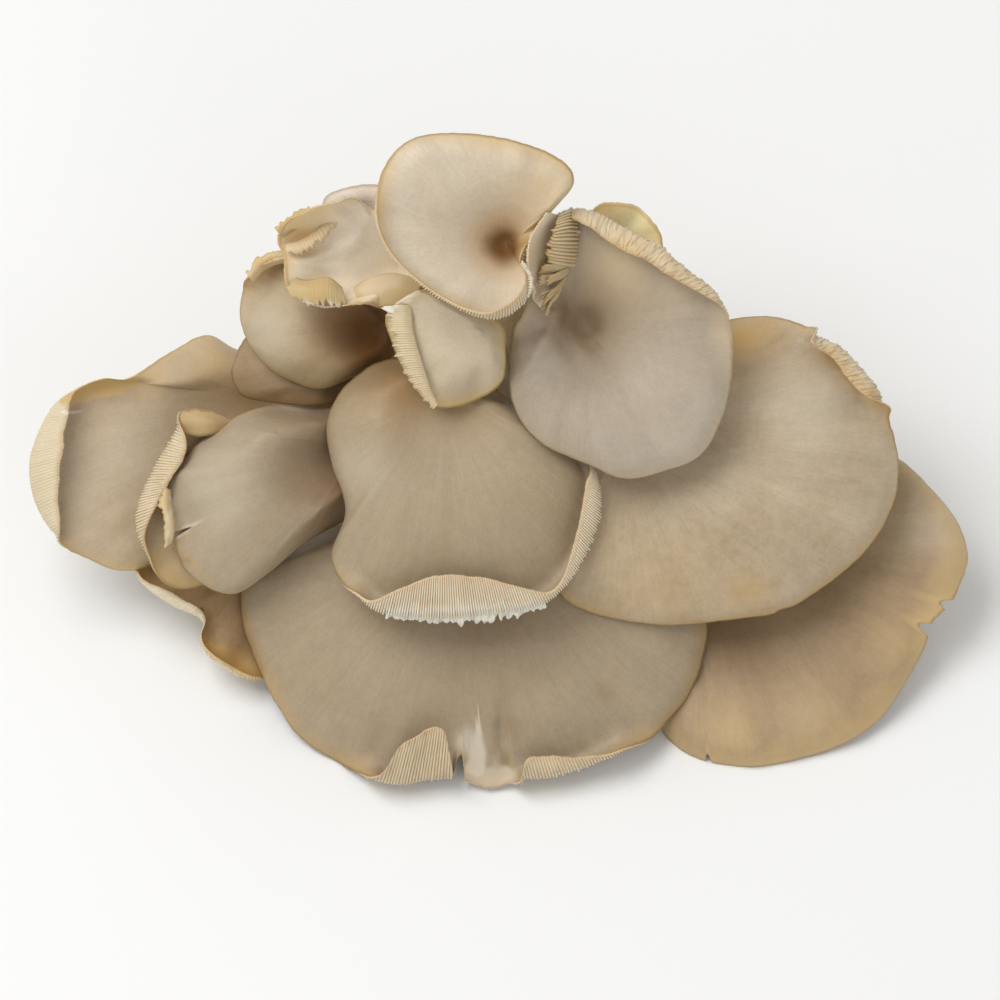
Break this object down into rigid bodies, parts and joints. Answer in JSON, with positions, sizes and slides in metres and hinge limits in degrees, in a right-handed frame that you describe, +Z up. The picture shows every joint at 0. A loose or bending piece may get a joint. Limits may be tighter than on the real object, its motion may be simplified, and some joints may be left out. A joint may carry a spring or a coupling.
{
  "type": "oyster mushroom cluster",
  "caption": "Cluster of fresh oyster mushrooms with fan-shaped overlapping caps, gills underneath and one cut root clump, lying on its cut face.",
  "frame": {"origin": "centre of the bounding box at its bottom, on the surface that the cluster lies on", "axes": "+X along the cluster's widest extent, to the right as seen from the front; +Y to the back, away from the caps' open side; +Z up from the surface"},
  "size_m": [0.2347, 0.1248, 0.1284],
  "materials": {
    "mushroom_flesh": "satin",
    "root_flesh": "matte"
  },
  "bodies": {
    "root": {"mushroom_top": "mushroom_flesh", "mushroom_upper_right": "mushroom_flesh", "mushroom_tongue": "mushroom_flesh", "mushroom_ruffled": "mushroom_flesh", "mushroom_centre": "mushroom_flesh", "mushroom_left_front": "mushroom_flesh", "mushroom_upper_left": "mushroom_flesh", "mushroom_behind_dome": "mushroom_flesh", "mushroom_right": "mushroom_flesh", "mushroom_left_behind": "mushroom_flesh", "mushroom_bottom": "mushroom_flesh", "mushroom_far_left": "mushroom_flesh", "mushroom_far_right": "mushroom_flesh", "mushroom_small_yellow": "mushroom_flesh", "mushroom_small_pink": "mushroom_flesh", "mushroom_low_left": "mushroom_flesh", "root_clump": "root_flesh"}
  },
  "joints": []
}
